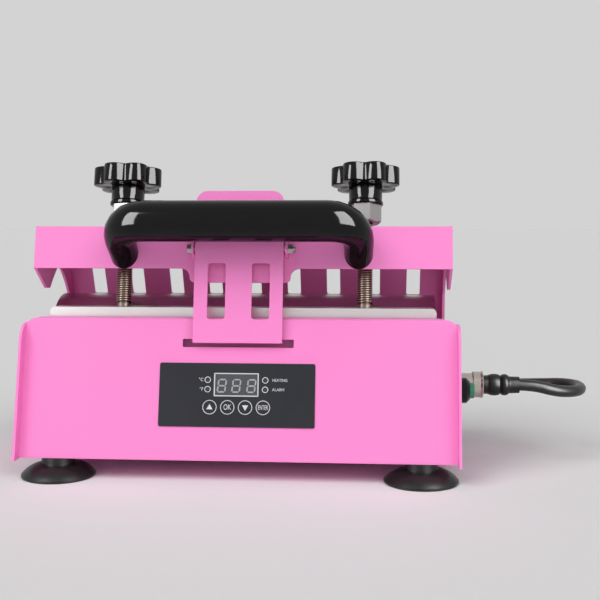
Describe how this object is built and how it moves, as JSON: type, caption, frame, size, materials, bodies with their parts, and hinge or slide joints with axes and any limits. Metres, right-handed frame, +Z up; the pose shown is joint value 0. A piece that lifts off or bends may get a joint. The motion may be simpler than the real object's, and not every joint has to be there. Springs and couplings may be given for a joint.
{
  "type": "tumbler heat press",
  "caption": "Bench press with a padded heated cylinder bay for drinking tumblers, a hinged slotted hood, screw-set upper heater, carrying handle, sprung latch and timer panel.",
  "frame": {"origin": "bottom centre of the press, on the table under its feet, measured without the free lead and its plug", "axes": "+X to the machine's right as seen from the control panel, +Y to the back, +Z up"},
  "size_m": [0.4407, 0.1824, 0.2381],
  "materials": {
    "painted_pink": "smooth semi-gloss paint",
    "bright_aluminium": "satin",
    "polished_steel": "mirror polished",
    "felt": "felt",
    "silicone": "smooth silicone",
    "overlay_film": "gloss",
    "display_glass": "tinted clear",
    "lamp_lens": "clear lens",
    "board": "solder resist",
    "key_plastic": "gloss",
    "button_green": "gloss",
    "black_plastic": "gloss",
    "handle_plastic": "high gloss",
    "black_rubber": "smooth",
    "zinc_steel": "zinc plated",
    "nylon": "plain"
  },
  "bodies": {
    "base": {"front_panel": "painted_pink", "side_plate_left": "painted_pink", "side_plate_right": "painted_pink", "floor_pan": "painted_pink", "rear_panel": "painted_pink", "rear_deck": "painted_pink", "end_wall_left": "painted_pink", "end_wall_right": "painted_pink", "lower_shell": "bright_aluminium", "lower_felt_pad": "felt", "lower_heating_mat": "silicone", "control_overlay": "overlay_film", "display_window": "display_glass", "display_module": "overlay_film", "led_lenses": "lamp_lens", "control_board": "board", "board_spacers": "board", "key_switches": "board", "power_bezel": "black_plastic", "panel_nuts": "zinc_steel", "lead_socket": "zinc_steel", "plug_ring": "zinc_steel", "plug_boot": "black_rubber", "heater_lead": "black_rubber", "lead_grommet": "black_rubber", "mains_inlet": "key_plastic", "inlet_screws": "zinc_steel", "feet": "black_rubber", "foot_studs": "zinc_steel", "foot_nuts": "zinc_steel", "hinge_bolts": "zinc_steel", "hinge_washers": "nylon", "hinge_nuts": "zinc_steel"},
    "hood": {"hood_shell": "painted_pink", "hood_cheek_left": "painted_pink", "hood_cheek_right": "painted_pink", "handle": "handle_plastic", "handle_screws": "zinc_steel", "rod_nuts": "zinc_steel", "latch_bracket": "painted_pink", "latch_bolt": "zinc_steel", "latch_nut": "zinc_steel"},
    "upper_heater": {"upper_shell": "polished_steel", "upper_felt_pad": "felt", "upper_heating_mat": "silicone", "pressure_bar": "bright_aluminium", "rod_seats": "zinc_steel"},
    "latch": {"latch_strap": "painted_pink"},
    "screw_left": {"knob_left": "black_plastic", "rod_left": "zinc_steel", "jam_nut_left": "zinc_steel"},
    "screw_right": {"knob_right": "black_plastic", "rod_right": "zinc_steel", "jam_nut_right": "zinc_steel"},
    "power_button": {"power_button": "button_green"},
    "key_up": {"key_up": "key_plastic"},
    "key_ok": {"key_ok": "key_plastic"},
    "key_down": {"key_down": "key_plastic"},
    "key_enter": {"key_enter": "key_plastic"}
  },
  "joints": [
    {"name": "hood_hinge", "type": "hinge", "parent": "base", "child": "hood", "pos_m": [-0.0051, 0.0535, 0.097], "axis": [-1, 0, 0], "range_deg": [0, 75]},
    {"name": "heater_slide", "type": "slide", "parent": "hood", "child": "upper_heater", "axis": [0, 0.2164, 0.9763], "range_m": [-0.003, 0.018]},
    {"name": "screw_left_turn", "type": "hinge", "parent": "upper_heater", "child": "screw_left", "pos_m": [-0.0994, -0.0046, 0.226], "axis": [0, 0.2164, 0.9763], "range_deg": [-640, 3720]},
    {"name": "screw_right_turn", "type": "hinge", "parent": "upper_heater", "child": "screw_right", "pos_m": [0.0892, -0.0046, 0.226], "axis": [0, 0.2164, 0.9763], "range_deg": [-640, 3720]},
    {"name": "latch_pivot", "type": "hinge", "parent": "hood", "child": "latch", "pos_m": [-0.0051, -0.0439, 0.1718], "axis": [-1, 0, 0], "range_deg": [-3.2, 6], "stiffness_Nm_per_rad": 0.6},
    {"name": "power_button_press", "type": "slide", "parent": "base", "child": "power_button", "axis": [-1, 0, 0], "range_m": [0, 0.0018], "stiffness_N_per_m": 350, "springref_m": -0.0006},
    {"name": "key_up_press", "type": "slide", "parent": "base", "child": "key_up", "axis": [0, 0.9744, -0.225], "range_m": [0, 0.0005], "stiffness_N_per_m": 400, "springref_m": -0.0002},
    {"name": "key_ok_press", "type": "slide", "parent": "base", "child": "key_ok", "axis": [0, 0.9744, -0.225], "range_m": [0, 0.0005], "stiffness_N_per_m": 400, "springref_m": -0.0002},
    {"name": "key_down_press", "type": "slide", "parent": "base", "child": "key_down", "axis": [0, 0.9744, -0.225], "range_m": [0, 0.0005], "stiffness_N_per_m": 400, "springref_m": -0.0002},
    {"name": "key_enter_press", "type": "slide", "parent": "base", "child": "key_enter", "axis": [0, 0.9744, -0.225], "range_m": [0, 0.0005], "stiffness_N_per_m": 400, "springref_m": -0.0002}
  ],
  "couplings": [
    {"joint": "screw_left_turn", "follows": "heater_slide", "rad_per_m": 3590.4},
    {"joint": "screw_right_turn", "follows": "heater_slide", "rad_per_m": 3590.4}
  ]
}
